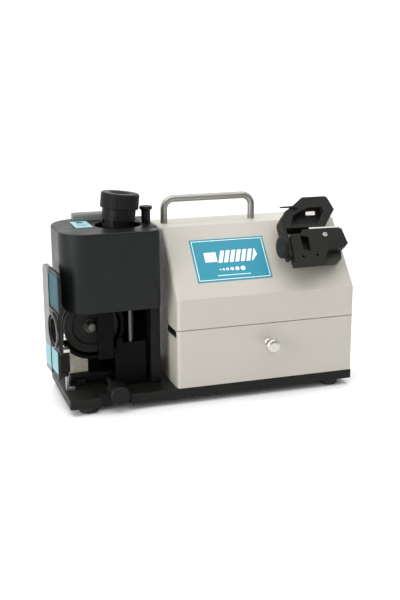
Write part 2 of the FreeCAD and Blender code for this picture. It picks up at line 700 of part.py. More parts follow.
def plunger_knob():
    """Spring-loaded pull knob with a round head and a pin in the column."""
    z = COVER_TOP + 0.3
    knob = turned([(0, 0), (6.1, 0), (6.1, 15.5), (6.8, 17.2), (8.4, 17.8), (8.7, 18.8),
                   (8.7, 20.8), (7.8, 22.0), (0, 22.4)], Vec(PLUNGER_X, PLUNGER_Y, z), Z_DIR)
    pin = cyl(3.0, Vec(PLUNGER_X, PLUNGER_Y, COVER_TOP - 22), Z_DIR, z - COVER_TOP + 22.5)
    return knob.fuse(pin)


# ======================= feed slide and grinding head =======================

RAIL_XS = (-118.0, -46.0)
GUIDE_W, GUIDE_H = 10.0, 8.0
GUIDE_Y0, GUIDE_Y1 = 56.0, 133.0
GUIDE_FIT = 0.05
CRADLE_X0, CRADLE_X1 = -131.0, -77.0
CRADLE_FOOT_W = 25.0
CRADLE_Y0, CRADLE_Y1 = 72.0, 108.0
SADDLE_Z0, SADDLE_Z1 = 40.0, 56.0


def guide_rails():
    """Two square rails along the base plate that the grinding head slides on."""
    half = GUIDE_W / 2
    return group([box(x - half, x + half, GUIDE_Y0, GUIDE_Y1, 0, GUIDE_H) for x in RAIL_XS])


def carriage():
    """Slide block that runs on the two rails."""
    block = box(CARRIAGE_X0, CARRIAGE_X1, CARRIAGE_Y0, CARRIAGE_Y1, CARRIAGE_Z0, CARRIAGE_TOP)
    block = bevel(block, 1.5, lambda e: along(e, X_DIR) and middle(e).z > CARRIAGE_TOP - 0.1)
    half = GUIDE_W / 2 + GUIDE_FIT
    for x in RAIL_XS:
        groove = box(x - half, x + half, CARRIAGE_Y0 - 1, CARRIAGE_Y1 + 1, 0,
                     GUIDE_H + GUIDE_FIT)
        block = block.cut(groove)
    slot = box(FEED_X - NUT_HALF - 0.5, FEED_X + NUT_HALF + 0.5, CARRIAGE_Y0 - 1,
               CARRIAGE_Y1 + 1, 0, NUT_TOP)
    return block.cut(slot)


NUT_HALF = 6.0
NUT_TOP = 8.0


def feed_nut():
    """Bronze nut under the slide, in the base plate's channel."""
    nut = box(FEED_X - NUT_HALF, FEED_X + NUT_HALF, 86.0, 104.0, CHANNEL_Z + 1.0, NUT_TOP)
    return nut.cut(cyl(FEED_SCREW_R + RUN_FIT, Vec(FEED_X, 80, FEED_Z), Y_DIR, 30))


def feed_screw():
    """Screw along Y with a collar that runs against the back of its bearing block."""
    screw = cyl(FEED_SCREW_R, Vec(FEED_X, 11.5, FEED_Z), Y_DIR, 108.0)
    collar = cyl(6.4, Vec(FEED_X, 23.3, FEED_Z), Y_DIR, 3.0)
    return screw.fuse(collar)


def feed_bracket():
    """Bearing block of the feed screw, with a rounded top."""
    y0, y1 = 11.6, 23.0
    block = box(FEED_X - 12.5, FEED_X + 12.5, y0, y1, 0, FEED_Z)
    arch = cyl(12.5, Vec(FEED_X, y0, FEED_Z), Y_DIR, y1 - y0)
    arch = arch.common(box(FEED_X - 16, FEED_X + 16, y0, y1, FEED_Z, 40))
    tongue = box(FEED_X - CHANNEL_HALF + 0.1, FEED_X + CHANNEL_HALF - 0.1, y0, y1, CHANNEL_Z, 0)
    shape = fuse([block, arch, tongue])
    return shape.cut(cyl(FEED_SCREW_R + RUN_FIT, Vec(FEED_X, 5, FEED_Z), Y_DIR, 30))


def feed_knob():
    """Feed handwheel at the front edge of the base plate."""
    start = Vec(FEED_X, 11.0, FEED_Z)
    shape = turned([(FEED_SCREW_R, 0), (9.0, 0), (9.0, 2.5), (FEED_R - 0.8, 2.5),
                    (FEED_R, 3.3), (FEED_R, 17.6), (FEED_R - 1.4, 19.0), (0, 19.0),
                    (0, 10.0), (FEED_SCREW_R, 10.0)], start, Y_DIR * -1)
    return knurl(shape, FEED_R + 0.55, 0.9, 30, start + Y_DIR * -4.5, Y_DIR * -1, 9.5)


def motor_cradle():
    """A cast foot and a saddle that hold the motor on the slide."""
    saddle = box(CRADLE_X0, CRADLE_X1, CRADLE_Y0 + 2, CRADLE_Y1, SADDLE_Z0, SADDLE_Z1)
    foot = box(CRADLE_X0, CRADLE_X0 + CRADLE_FOOT_W, CRADLE_Y0, CRADLE_Y1, CARRIAGE_TOP,
               SADDLE_Z0 + 8)
    motor_room = cyl(MOTOR_R, Vec(AXIS_X, MOTOR_Y0 - 10, AXIS_Z), Y_DIR, 60)
    return fuse([saddle, foot]).cut(motor_room)


def motor_body():
    """Finned motor case, bored for the rotor."""
    case = cyl(MOTOR_R, Vec(AXIS_X, MOTOR_Y0, AXIS_Z), Y_DIR, MOTOR_Y1 - MOTOR_Y0)
    case = case.cut(cyl(MOTOR_R - 4, Vec(AXIS_X, MOTOR_Y0 + 5, AXIS_Z), Y_DIR, 60))
    for i in range(5):
        fin_gap = ring(MOTOR_R + 1, MOTOR_R - 1.6, Vec(AXIS_X, MOTOR_Y0 + 8 + 6.5 * i, AXIS_Z),
                       Y_DIR, 3.0)
        case = case.cut(fin_gap.common(box(-160, -40, 60, 130, AXIS_Z, 130)))
    return case.cut(cyl(BEARING_R, Vec(AXIS_X, 60, AXIS_Z), Y_DIR, 20))


def motor_cap():
    """Rear end bell with cooling holes."""
    cap = turned([(BEARING_R, 0), (MOTOR_R - 4.0, 0), (MOTOR_R - 4.0, 1.0), (MOTOR_R, 1.0),
                  (MOTOR_R, 3.0), (28.0, 12.0), (0, 12.0), (0, 10.0), (BEARING_R, 10.0)],
                 Vec(AXIS_X, MOTOR_Y1 - 1.0, AXIS_Z), Y_DIR)
    for i in range(8):
        a = math.radians(45.0 * i)
        spot = Vec(AXIS_X + 20 * math.cos(a), MOTOR_Y1 - 5, AXIS_Z + 20 * math.sin(a))
        cap = cap.cut(cyl(3.0, spot, Y_DIR, 30))
    return cap


def spindle():
    """Shaft with its rotor pack and the flange that the wheel sits against."""
    shaft = cyl(SPINDLE_R, Vec(AXIS_X, 45.0, AXIS_Z), Y_DIR, 75.0)
    flange = cyl(11.5, Vec(AXIS_X, WHEEL_FACE_Y + 12.0, AXIS_Z), Y_DIR, 2.5)
    rotor = cyl(26.0, Vec(AXIS_X, MOTOR_Y0 + 9, AXIS_Z), Y_DIR, 28.0)
    return fuse([shaft, flange, rotor])


def spindle_bearings():
    pair = []
    for y in (MOTOR_Y0, MOTOR_Y1):
        pair.append(ring(BEARING_R, SPINDLE_R + RUN_FIT, Vec(AXIS_X, y, AXIS_Z), Y_DIR, 7.0))
    return group(pair)


def guard_room():
    """The space that the guard needs over its whole feed travel."""
    y0 = GUARD_Y0 - FEED_TRAVEL - 0.6
    y1 = GUARD_Y1 + FEED_TRAVEL + 3.0
    return cyl(GUARD_R + 0.8, Vec(AXIS_X, y0, AXIS_Z), Y_DIR, y1 - y0)


def wheel_guard():
    """Round guard, open in front, with windows for the two ports."""
    shell = ring(GUARD_R, GUARD_R - 2.5, Vec(AXIS_X, GUARD_Y0, AXIS_Z), Y_DIR,
                 GUARD_Y1 - GUARD_Y0)
    back = ring(GUARD_R, 12.0, Vec(AXIS_X, GUARD_Y1, AXIS_Z), Y_DIR, 2.0)
    lip = ring(GUARD_R, 39.5, Vec(AXIS_X, GUARD_Y0, AXIS_Z), Y_DIR, 1.5)
    shape = fuse([shell, back, lip])
    side_window = box(-170, AXIS_X - 25, GUARD_Y0 - 1, GUARD_Y1 + 3, SIDE_PORT_Z - 27,
                      SIDE_PORT_Z + 26)
    top_window = box(-92, -58, GUARD_Y0 - 1, GUARD_Y1 - 2, AXIS_Z + 20, 140)
    return shape.cut(side_window).cut(top_window)


def grinding_wheel():
    """Cup wheel with a raised abrasive rim on its front face."""
    return turned([(SPINDLE_R, 0), (WHEEL_R - 3, 0), (WHEEL_R, 3.0), (WHEEL_R, 12.0),
                   (WHEEL_R - 10, 12.0), (WHEEL_R - 12, 8.5), (SPINDLE_R, 8.5)],
                  Vec(AXIS_X, WHEEL_FACE_Y + 12.0, AXIS_Z), Y_DIR * -1)


def wheel_nut():
    """Hexagonal nut on a washer."""
    y = WHEEL_FACE_Y + 3.5
    washer = ring(9.5, SPINDLE_R, Vec(AXIS_X, y - 2.0, AXIS_Z), Y_DIR, 2.0)
    points = []
    for i in range(6):
        a = math.radians(60 * i + 30)
        points.append((AXIS_X + 7.5 * math.cos(a), y - 7.0, AXIS_Z + 7.5 * math.sin(a)))
    nut = prism(points, Y_DIR * 5.0)
    return washer.fuse(nut).cut(cyl(SPINDLE_R, Vec(AXIS_X, 30, AXIS_Z), Y_DIR, 40))


ROD_X, ROD_Y = -53.0, 44.0
ROD_R = 3.0
ROD_Z0 = 48.0                    # its lower end, inside the block


def guide_rod():
    """Round steel rod from the foot block up to the bridge."""
    return cyl(ROD_R, Vec(ROD_X, ROD_Y, ROD_Z0), Z_DIR, BRIDGE_Z0 - ROD_Z0)


def rod_block():
    """Black foot block that takes the lower end of the rod."""
    block = box(-73.0, -32.0, 40.0, 54.0, 0, 60.0)
    block = soften(block, 1.5, lambda e: along(e, Z_DIR))
    ear = box(-73.0, -65.0, 38.5, 42.0, 50.0, 67.0)
    boss = cyl(3.8, Vec(-69.5, 36.5, 62.0), Y_DIR, 3.0)
    block = block.fuse(ear).fuse(boss)
    block = block.cut(cyl(ROD_R, Vec(ROD_X, ROD_Y, ROD_Z0), Z_DIR, 20))
    return block.cut(guard_room())


# ======================= swivelling side port =======================

def swing(shape):
    """Turn a piece of the side port from its closed to its rest position."""
    shape.rotate(Vec(SWING_X, SWING_Y, 0), Z_DIR, SWING_REST)
    return shape


ARCH_R = 12.0
LUG_H = 5.5
STEP_Y, STEP_Z = 20.0, 63.0      # the lower front corner is stepped back


def port_panel():
    """Upright panel with a rounded top, a raised rear band and a pivot lug at its foot."""
    x1 = PANEL_X + PANEL_THICK
    plate = box(PANEL_X, x1, PANEL_Y0, PANEL_Y1, PANEL_Z0, PANEL_Z1)
    plate = plate.fuse(box(PANEL_X - BAND_RISE, PANEL_X, BAND_Y0, PANEL_Y1, PANEL_Z0, PANEL_Z1))
    plate = plate.removeSplitter()

    def top_corner(e):
        return along(e, X_DIR) and middle(e).z > PANEL_Z1 - 0.1

    plate = soften(plate, ARCH_R, top_corner)
    plate = plate.cut(box(PANEL_X - 5, x1 + 1, PANEL_Y0 - 1, STEP_Y, PANEL_Z0 - 1, STEP_Z))
    plate = plate.cut(cyl(SIDE_BUSH_R + CLEAR, Vec(PANEL_X - 20, SIDE_PORT_Y, SIDE_PORT_Z),
                          X_DIR, 40))
    lug = box(x1 - 1, SWING_X, SWING_Y - 6, SWING_Y + 6, PANEL_Z0, PANEL_Z0 + LUG_H)
    lug = lug.fuse(cyl(6.0, Vec(SWING_X, SWING_Y, PANEL_Z0), Z_DIR, LUG_H))
    lug = lug.cut(cyl(3.0 + RUN_FIT, Vec(SWING_X, SWING_Y, PANEL_Z0 - 1), Z_DIR, LUG_H + 2))
    return swing(plate.fuse(lug).removeSplitter())


def side_port_bush():
    """Black guide bush that takes the drill holder, with its mounting plate."""
    centre = Vec(PANEL_X, SIDE_PORT_Y, SIDE_PORT_Z)
    barrel = turned([(SIDE_BORE_R, -2.5), (SIDE_BUSH_R, -2.5), (SIDE_BUSH_R, PANEL_THICK),
                     (SIDE_BUSH_R + 1.5, PANEL_THICK), (SIDE_BUSH_R + 1.5, PANEL_THICK + 2.0),
                     (SIDE_BORE_R, PANEL_THICK + 2.0)], centre, X_DIR)
    plate = box(PANEL_X - BAND_RISE, PANEL_X, PANEL_Y0 + 1.5, BAND_Y0 - CLEAR, STEP_Z + 1.0,
                SIDE_PORT_Z + 27.0)
    plate = soften(plate, 4.0, lambda e: along(e, X_DIR))
    plate = plate.cut(cyl(SIDE_BORE_R + 1.0, centre - X_DIR * 5, X_DIR, 10))
    return swing(barrel.fuse(plate).removeSplitter())


def side_port_ring():
    """Bright turned ring round the mouth of the side port."""
    seat = Vec(PANEL_X - BAND_RISE, SIDE_PORT_Y, SIDE_PORT_Z)
    inner = SIDE_BUSH_R + CLEAR
    shape = turned([(inner, 0), (SIDE_RING_R, 0), (SIDE_RING_R, SIDE_RING_H - 0.6),
                    (SIDE_RING_R - 0.6, SIDE_RING_H), (inner, SIDE_RING_H)], seat, X_DIR * -1)
    return swing(shape)


def port_labels():
    """Two stickers on the side panel: the angle scale and a plain square."""
    scale = box(PANEL_X - 0.4, PANEL_X, PANEL_Y0 + 2.0, BAND_Y0 - 1.0, 120.0, 163.0)
    scale = soften(scale, 8.0, lambda e: along(e, X_DIR) and middle(e).z > 160)
    square_x = PANEL_X - BAND_RISE
    square = box(square_x - 0.4, square_x, BAND_Y0 + 1.0, PANEL_Y1 - 3.0, 31.0, 61.0)
    lower = box(PANEL_X - 0.4, PANEL_X, STEP_Y + 2.0, BAND_Y0 - 0.5, 31.0, 61.0)
    return group([swing(scale), swing(square), swing(lower)])


def swivel_pin():
    """Pin fixed in the pivot block; the panel's lug turns on it."""
    return cyl(3.0, Vec(SWING_X, SWING_Y, PANEL_Z0 - 1.0), Z_DIR, 22.0)


BLOCK_X0, BLOCK_X1 = -150.5, -138.0
BLOCK_Y0, BLOCK_Y1 = 30.0, 50.0
BRACKET_Y0 = 43.0
BLOCK_Z0, BLOCK_Z1 = 30.0, 57.5


def pivot_block():
    """Black block that carries the side port's swivel pin."""
    block = box(BLOCK_X0, BLOCK_X1, BLOCK_Y0, BLOCK_Y1, BLOCK_Z0, BLOCK_Z1)
    block = block.cut(cyl(3.0, Vec(SWING_X, SWING_Y, BLOCK_Z0 - 1), Z_DIR, 16.0))
    return block.cut(guard_room())


def rest_bar():
    """Bright bar that the drill rests on, cut back round the wheel guard."""
    bar = box(BLOCK_X0, BLOCK_X1, BLOCK_Y0 - 1.5, BLOCK_Y1, BLOCK_Z1, BLOCK_Z1 + 4.0)
    return bar.cut(guard_room())


def pivot_bracket():
    """Steel angle that carries the pivot block from the base plate."""
    leg = box(BLOCK_X1 - 3.5, BLOCK_X1, BRACKET_Y0, BLOCK_Y1, 0, BLOCK_Z0)
    toe = box(BLOCK_X1, BLOCK_X1 + 8.0, BRACKET_Y0, BLOCK_Y1, 0, 3.0)
    return leg.fuse(toe).removeSplitter()


# ======================= setting fixture =======================

def under_room():
    """The space under the fixture, whose underside is nearly level."""
    lean = (UNDER_BACK_S - UNDER_FRONT_S) / FIX_FRONT_H
    outline = [(UNDER_BACK_S + lean, -1), (UNDER_FRONT_S - lean, FIX_FRONT_H + 1),
               (0, FIX_FRONT_H + 1), (0, -1)]
    corners = [on_slope(150, s, h) for s, h in outline]
    return Part.Face(Part.makePolygon(corners + corners[:1])).extrude(X_DIR * 110)


def fixture_body():
    """Black block on the slanted panel."""
    block = slope_prism([(172, 18), (214, 18), (238, 34), (240, 44), (240, 74), (172, 74)], 0,
                        FIX_BACK_H)
    return block.cut(under_room())


def fixture_front():
    """Front plate with its lower right corner cut away."""
    plate = slope_prism([(164, 18), (203, 18), (204, 26), (216, 42), (239, 44), (247, 50),
                         (244, 74), (186, 76), (182, 70), (168, 70), (164, 50)],
                        FIX_BACK_H, FIX_FRONT_H)
    pocket = slope_prism([(179, 46), (190, 42), (192, 64), (180, 67)], FIX_BACK_H + 2,
                         FIX_FRONT_H + 1)
    plate = plate.cut(pocket).cut(under_room())
    for x, s in ((198, 36), (177, 35)):
        plate = plate.cut(cyl(2.0, on_slope(x, s, FIX_FRONT_H - 6), OFF_SLOPE, 8))
    return plate.cut(cyl(3.0 + RUN_FIT, on_slope(160, KNOB_S, KNOB_H), X_DIR, 15))


def jaw_plate():
    """Bright steel plate on top of the fixture."""
    return slope_prism([(196, 76.2), (242, 75.4), (242, 77.6), (196, 78.4)], 8.0, FIX_FRONT_H)


KNOB_S, KNOB_H = 54.0, 25.5
GAUGE_TRAVEL = 9.0
FINGER_X, FINGER_S = 185.0, 112.0


def gauge_loop():
    """Loop that the holder's nose is set against, with a back wall and a small sight window.

    Its arm reaches down the left side of the block.
    """
    outline = [(163, 80), (162, 97), (168, 106), (181, 114), (199, 127), (236, 127), (242, 105),
               (221, 79.2), (209, 79.2)]
    window = [(172, 84), (178, 98), (188, 104), (203, 110), (224, 110), (226, 103), (211, 84)]
    peep = [(204.5, 106), (220, 105.5), (221.5, 116.5), (206, 117)]

    def top_corner(e):
        return along(e, OFF_SLOPE) and (middle(e) - on_slope(0, 0, 0)).dot(UP_SLOPE) > 120

    loop = soften(slope_prism(outline, 13.0, 31.0), 5.0, top_corner)
    loop = loop.cut(slope_prism(window, 17.0, 35.0)).cut(slope_prism(peep, 10.0, 20.0))
    arm = slope_prism([(158, 38), (163, 38), (163, 97), (160, 97), (158, 92)], 13.0, 31.0)
    pin = cyl(2.0, on_slope(FINGER_X, FINGER_S, 30.0), OFF_SLOPE, 3.1)
    pin_head = cyl(3.2, on_slope(FINGER_X, FINGER_S, 33.1), OFF_SLOPE, 1.8)
    loop = loop.fuse(arm).fuse(pin).fuse(pin_head)
    low = KNOB_S - GAUGE_TRAVEL - 3.2
    slit = slope_prism([(150, low), (170, low), (170, KNOB_S + 3.2), (150, KNOB_S + 3.2)],
                       KNOB_H - 3.2, KNOB_H + 3.2)
    return loop.cut(slit).removeSplitter()


def gauge_knob():
    """Knurled clamp knob on the left of the fixture, with its stud."""
    start = on_slope(157.8, KNOB_S, KNOB_H)
    shape = turned([(0, 0), (14.0, 0), (14.8, 0.8), (14.8, 7.4), (13.6, 8.6), (6, 9.0), (0, 9.0)],
                   start, X_DIR * -1)
    shape = knurl(shape, 15.3, 0.9, 32, start - X_DIR * 1.2, X_DIR * -1, 5.8)
    stud = cyl(3.0, start, X_DIR, 16.0)
    return shape.fuse(stud)


def stop_finger():
    """Thin blade that swings over the loop's opening."""
    blade = slope_prism([(162, 111.4), (183, 110.6), (183, 113.4), (162, 112.8)], 31.3, 32.8)
    eye = cyl(3.6, on_slope(FINGER_X, FINGER_S, 31.3), OFF_SLOPE, 1.5)
    hole = cyl(2.0 + RUN_FIT, on_slope(FINGER_X, FINGER_S, 30), OFF_SLOPE, 5)
    return blade.fuse(eye).cut(hole)


# ======================= writing the nodes =======================

def write(name, shape):
    shape = shape.copy()
    shape.translate(ORIGIN * -1)
    shape.exportStep("parts/" + name + ".step")


def main():
    os.makedirs("parts", exist_ok=True)
    nodes = {
        "base_plate": base_plate(),
        "rubber_feet": rubber_feet(),
        "foot_screws": foot_screws(),
        "housing_shell": housing_shell(),
        "rear_panel": rear_panel(),
        "rear_screws": rear_screws(),
        "deck_plate": deck_plate(),
        "control_board": control_board(),
        "power_module": power_module(),
        "rocker_switch": rocker_switch(),
        "name_label": name_label(),
        "carry_handle": carry_handle(),
        "handle_screws": handle_screws(),
        "drawer_front": drawer_front(),
        "drawer_tray": drawer_tray(),
        "drawer_rails": drawer_rails(),
        "drawer_runners": drawer_runners(),
        "drawer_knob": drawer_knob(),
        "column_plate": column_plate(),
        "port_bridge": port_bridge(),
        "support_bar": support_bar(),
        "head_cover": head_cover(),
        "cover_label": cover_label(),
        "rear_lip": rear_lip(),
        "rear_shield": rear_shield(),
        "port_bush": port_bush(),
        "tool_holder": tool_holder(),
        "collet": collet(),
        "clamp_ring": clamp_ring(),
        "plunger_knob": plunger_knob(),
        "guide_rails": guide_rails(),
        "carriage": carriage(),
        "feed_nut": feed_nut(),
        "feed_screw": feed_screw(),
        "feed_bracket": feed_bracket(),
        "feed_knob": feed_knob(),
        "motor_cradle": motor_cradle(),
        "motor_body": motor_body(),
        "motor_cap": motor_cap(),
        "spindle": spindle(),
        "spindle_bearings": spindle_bearings(),
        "wheel_guard": wheel_guard(),
        "grinding_wheel": grinding_wheel(),
        "wheel_nut": wheel_nut(),
        "guide_rod": guide_rod(),
        "rod_block": rod_block(),
        "port_panel": port_panel(),
        "side_port_bush": side_port_bush(),
        "side_port_ring": side_port_ring(),
        "port_labels": port_labels(),
        "swivel_pin": swivel_pin(),
        "pivot_block": pivot_block(),
        "rest_bar": rest_bar(),
        "pivot_bracket": pivot_bracket(),
        "fixture_body": fixture_body(),
        "fixture_front": fixture_front(),
        "jaw_plate": jaw_plate(),
        "gauge_loop": gauge_loop(),
        "gauge_knob": gauge_knob(),
        "stop_finger": stop_finger(),
    }
    for name, shape in nodes.items():
        write(name, shape)
    print(len(nodes), "nodes")


main()
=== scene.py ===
import json
import math

import bmesh
import bpy
from mathutils import Matrix, Vector


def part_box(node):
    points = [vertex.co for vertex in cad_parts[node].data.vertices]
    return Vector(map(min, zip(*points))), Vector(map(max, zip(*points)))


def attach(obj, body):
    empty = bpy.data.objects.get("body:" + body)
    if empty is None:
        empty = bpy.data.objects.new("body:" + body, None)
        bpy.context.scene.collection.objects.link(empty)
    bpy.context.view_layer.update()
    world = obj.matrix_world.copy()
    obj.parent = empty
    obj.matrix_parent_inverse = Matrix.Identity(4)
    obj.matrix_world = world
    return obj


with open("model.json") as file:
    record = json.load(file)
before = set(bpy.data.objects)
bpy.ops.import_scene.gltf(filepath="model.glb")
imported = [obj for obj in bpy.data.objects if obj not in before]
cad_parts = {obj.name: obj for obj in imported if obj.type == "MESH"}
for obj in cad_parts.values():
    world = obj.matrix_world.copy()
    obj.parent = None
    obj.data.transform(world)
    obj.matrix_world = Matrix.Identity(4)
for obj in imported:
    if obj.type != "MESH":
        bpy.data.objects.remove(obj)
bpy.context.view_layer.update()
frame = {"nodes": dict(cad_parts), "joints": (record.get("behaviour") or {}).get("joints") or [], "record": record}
NODES = frame["nodes"]
MM = 0.001

# ---- camera ----
CAMERA_FROM_PLATE = Vector((-0.2054, -1.1600, 0.4541))   # from the plate's low front left corner
CAMERA_YAW = math.radians(18.20)     # turned towards +X from straight ahead
CAMERA_PITCH = math.radians(14.76)   # looking down
CAMERA_ROLL = math.radians(-0.23)
SENSOR = 36.0
FOCAL = 57.9

# ---- light: a room that is white behind the machine, and two soft boxes ----
WHITE_ROOM = 1.12
DIM_ROOM = 0.08
ROOM_AXIS = (-0.25, 1.0, 0.9)    # the way from the dim side of the room to the white side
ROOM_FADE = (-0.75, 0.05)        # where along that way it goes from dim to white
LIGHT_AIM = (0, 0, 0.1)
TOP_PLACE = (-0.2, 0.0, 1.9)
TOP_SIZE = 2.4
TOP_POWER = 26.0
LEFT_PLACE = (-1.5, -0.75, 0.45)
LEFT_SIZE = 0.9
LEFT_POWER = 11.0
FLOOR_HALF = 30.0
FLOOR_LOW = (0.94, 0.94, 0.94, 1.0)
FLOOR_HIGH = (0.96, 0.96, 0.96, 1.0)

# ---- prints, labels and the side panel ----
FILM = 0.5 * MM                  # thickness of the label on the slanted panel
STICKER = 0.4 * MM               # thickness of the stickers on the side panel
PRINT = 0.08 * MM
MARGIN = 2.2 * MM
BORDER = 0.9 * MM
BAND_SHARE = 0.62                # how much of the side panel's depth lies in front of its band
PORT_TO_PANEL = 1.5 * MM         # the side port's middle lies this far inside the panel's face
SCALE_Z = 35.0 * MM              # the scale's lowest tick above the port's axis
SCALE_Y = 19.0 * MM              # where the ticks start, from the port's axis
SCALE_STEP = 3.6 * MM
SCALE_TICKS = 9


# ======================= colours and material helpers =======================

def srgb(r, g, b):
    """Linear colour from 0-255 display values."""
    out = []
    for v in (r, g, b):
        v = v / 255.0
        out.append(v / 12.92 if v <= 0.04045 else ((v + 0.055) / 1.055) ** 2.4)
    return (out[0], out[1], out[2], 1.0)


def shade(colour, k):
    """The same colour, k times as bright."""
    return (min(colour[0] * k, 1.0), min(colour[1] * k, 1.0), min(colour[2] * k, 1.0), 1.0)


class Surface:
    """A Principled material and short calls that add its procedural layers."""

    def __init__(self, name):
        self.mat = bpy.data.materials.new(name)
        self.mat.use_nodes = True
        self.tree = self.mat.node_tree
        self.bsdf = next(n for n in self.tree.nodes if n.type == "BSDF_PRINCIPLED")
        self.place = self.add("ShaderNodeTexCoord").outputs["Object"]
        self.normal = None

    def add(self, kind, **values):
        """A new node with the given settings."""
        node = self.tree.nodes.new(kind)
        for key, value in values.items():
            setattr(node, key, value)
        return node

    def link(self, source, target):
        self.tree.links.new(source, target)

    def stretched(self, scale):
        """Object coordinates scaled by axis, for marks that run one way."""
        node = self.add("ShaderNodeMapping")
        node.inputs["Scale"].default_value = scale
        self.link(self.place, node.inputs["Vector"])
        return node.outputs["Vector"]

    def noise(self, scale, detail=3.0, rough=0.55, vector=None):
        """Noise over the object, as a factor socket."""
        node = self.add("ShaderNodeTexNoise")
        node.inputs["Scale"].default_value = scale
        node.inputs["Detail"].default_value = detail
        node.inputs["Roughness"].default_value = rough
        self.link(vector or self.place, node.inputs["Vector"])
        return node.outputs["Fac"]

    def cells(self, scale):
        """Voronoi cells over the object."""
        node = self.add("ShaderNodeTexVoronoi", feature="F1")
        node.inputs["Scale"].default_value = scale
        self.link(self.place, node.inputs["Vector"])
        return node

    def remap(self, value, a, b, low, high):
        """Carry the range a..b of a socket to low..high."""
        node = self.add("ShaderNodeMapRange")
        for socket, limit in (("From Min", a), ("From Max", b), ("To Min", low), ("To Max", high)):
            node.inputs[socket].default_value = limit
        self.link(value, node.inputs["Value"])
        return node.outputs["Result"]

    def clouds(self, scale, detail=3.0, low=0.0, high=1.0):
        """Soft patches of the given scale, spread over low..high."""
        return self.remap(self.noise(scale, detail), 0.3, 0.7, low, high)

    def mix(self, factor, first, second):
        """Blend two colours (or sockets) by a factor socket."""
        node = self.add("ShaderNodeMix", data_type="RGBA")
        self.link(factor, node.inputs["Factor"])
        for socket, value in ((node.inputs[6], first), (node.inputs[7], second)):
            if isinstance(value, bpy.types.NodeSocket):
                self.link(value, socket)
            else:
                socket.default_value = value
        return node.outputs[2]

    def bump(self, height, distance, strength=1.0):
        """Add relief on top of what the normal already has."""
        node = self.add("ShaderNodeBump")
        node.inputs["Distance"].default_value = distance
        node.inputs["Strength"].default_value = strength
        self.link(height, node.inputs["Height"])
        if self.normal is not None:
            self.link(self.normal, node.inputs["Normal"])
        self.normal = node.outputs["Normal"]

    def round_edges(self, radius):
        """Soften hard edges in the shading."""
        node = self.add("ShaderNodeBevel", samples=6)
        node.inputs["Radius"].default_value = radius
        self.normal = node.outputs["Normal"]

    def edges(self, radius, low, high):
        """0 on flat ground, 1 at the edges."""
        soft = self.add("ShaderNodeBevel", samples=6)
        soft.inputs["Radius"].default_value = radius
        hard = self.add("ShaderNodeNewGeometry")
        dot = self.add("ShaderNodeVectorMath", operation="DOT_PRODUCT")
        self.link(soft.outputs["Normal"], dot.inputs[0])
        self.link(hard.outputs["Normal"], dot.inputs[1])
        return self.remap(dot.outputs["Value"], 1.0 - low, 1.0 - high, 0.0, 1.0)

    def times(self, a, b):
        """Product of two sockets or numbers."""
        node = self.add("ShaderNodeMath", operation="MULTIPLY")
        for socket, value in zip(node.inputs, (a, b)):
            if isinstance(value, bpy.types.NodeSocket):
                self.link(value, socket)
            else:
                socket.default_value = value
        return node.outputs[0]

    def finish(self, colour=None, rough=None, **plain):
        """Link the layers to the shader, set its plain values and hand back the material."""
        if colour is not None:
            self.link(colour, self.bsdf.inputs["Base Color"])
        if rough is not None:
            self.link(rough, self.bsdf.inputs["Roughness"])
        if self.normal is not None:
            self.link(self.normal, self.bsdf.inputs["Normal"])
        for key, value in plain.items():
            self.bsdf.inputs[key.replace("_", " ")].default_value = value
        return self.mat


# ======================= materials =======================

def powder_coat(name, base, worn, gloss, grain_scale=900.0, grain=0.00006, wear=0.35, bevel=0.0006,
                spread=0.05, shine=0.5):
    """Sprayed paint: orange-peel bump, faint clouding, and thinner paint along the edges."""
    s = Surface(name)
    body = s.mix(s.clouds(9.0, 4.0), shade(base, 1.0 - spread), shade(base, 1.0 + spread))
    speck = s.remap(s.noise(620.0, 2.0), 0.62, 0.72, 0.0, 0.25)
    body = s.mix(speck, body, shade(base, 0.86))
    s.round_edges(bevel)
    patchy = s.remap(s.noise(120.0, 4.0), 0.42, 0.62, 0.0, wear)
    body = s.mix(s.times(s.edges(bevel * 1.2, 0.03, 0.35), patchy), body, worn)
    s.bump(s.noise(grain_scale, 2.0), grain, 0.55)
    s.bump(s.noise(60.0, 2.0), 0.0002, 0.05)
    return s.finish(body, s.clouds(35.0, 4.0, gloss - 0.05, gloss + 0.06), Specular_IOR_Level=shine)


def moulded(name, base, gloss, pebble=1500.0, depth=0.00008, bevel=0.0005, shine=0.3):
    """Spark-eroded plastic: a fine even pebble, slightly uneven gloss, and a painted highlight along the edges."""
    s = Surface(name)
    tone = s.mix(s.clouds(14.0), shade(base, 0.92), shade(base, 1.08))
    s.round_edges(bevel)
    edge_highlight = s.edges(bevel * 1.3, 0.03, 0.4)
    # painted highlight: the edges are lighter in colour, standing in for the light they catch
    tone = s.mix(s.times(edge_highlight, 0.30), tone, shade(base, 2.1))
    cell = s.cells(pebble)
    s.bump(cell.outputs["Distance"], depth, 0.35)
    s.bump(s.noise(pebble * 0.6, 2.0), depth, 0.4)
    return s.finish(tone, s.clouds(50.0, 4.0, gloss - 0.05, gloss + 0.07), Specular_IOR_Level=shine)


def brushed(name, base, gloss, stretch=(6.0, 400.0, 400.0), depth=0.00003, bevel=0.0004, contrast=0.12):
    """Metal with fine parallel tool marks and smudged gloss."""
    s = Surface(name)
    lines = s.noise(1.0, 4.0, 0.7, s.stretched(stretch))
    tone = s.mix(s.remap(lines, 0.3, 0.7, 0.0, 1.0), shade(base, 1.0 - contrast),
                 shade(base, 1.0 + contrast))
    smear = s.noise(28.0, 4.0)
    tone = s.mix(s.remap(smear, 0.55, 0.75, 0.0, 0.3), tone, shade(base, 0.78))
    s.round_edges(bevel)
    s.bump(lines, depth, 0.5)
    rough = s.remap(smear, 0.3, 0.75, gloss - 0.05, gloss + 0.12)
    return s.finish(tone, rough, Metallic=1.0)


